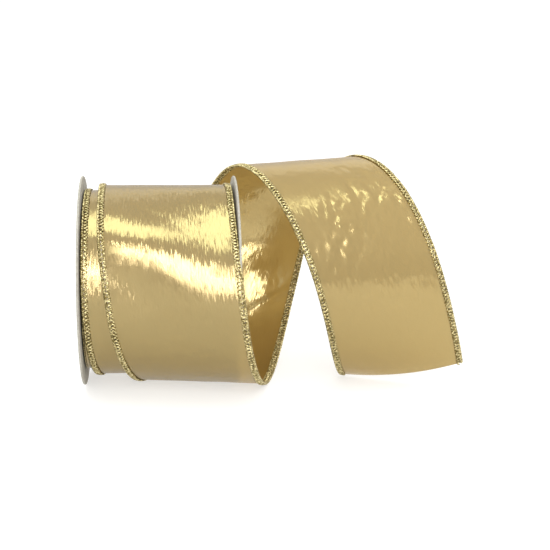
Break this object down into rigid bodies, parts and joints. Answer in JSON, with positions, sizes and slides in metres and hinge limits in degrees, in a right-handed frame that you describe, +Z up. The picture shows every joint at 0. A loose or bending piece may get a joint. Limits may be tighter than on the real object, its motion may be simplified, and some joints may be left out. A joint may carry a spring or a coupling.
{
  "type": "ribbon spool",
  "caption": "Card spool wound with wide wired gold ribbon, its outer turns slack and drawn out sideways into one loop and a free hanging tail.",
  "frame": {"origin": "centre of the bounding box's bottom face, on the surface the part rests on", "axes": "+X along the spool's axis from its closed side towards the free tail, +Z up, -Y towards the side the tail hangs on"},
  "size_m": [0.19, 0.126, 0.11],
  "materials": {
    "card": "grey board, matt",
    "tube": "kraft board, matt",
    "tape": "paper tape",
    "cloth": "gold lame, glossy, fine lengthwise yarn",
    "edge": "gold overlocked thread",
    "wire": "thin edge wire"
  },
  "bodies": {
    "ribbon": {"turns_cloth": "cloth", "turns_left_edge": "edge", "turns_right_edge": "edge", "turns_left_wire": "wire", "turns_right_wire": "wire", "loop_cloth": "cloth", "loop_left_edge": "edge", "loop_right_edge": "edge", "loop_left_wire": "wire", "loop_right_wire": "wire"},
    "spool": {"left_flange": "card", "right_flange": "card", "core_tube": "tube", "core_tape": "tape", "wound_cloth": "cloth", "wound_left_edge": "edge", "wound_right_edge": "edge"},
    "tail": {"tail_cloth": "cloth", "tail_left_edge": "edge", "tail_right_edge": "edge", "tail_left_wire": "wire", "tail_right_wire": "wire"}
  },
  "joints": [
    {"name": "spool_spin", "type": "hinge", "parent": "ribbon", "child": "spool", "pos_m": [-0.05792, -0.00891, 0.05252], "axis": [1, 0, 0], "continuous": true},
    {"name": "tail_bend", "type": "hinge", "parent": "ribbon", "child": "tail", "pos_m": [0.02221, 0.00314, 0.10533], "axis": [-0.917, -0.3736, -0.1395], "range_deg": [0, 40]}
  ]
}
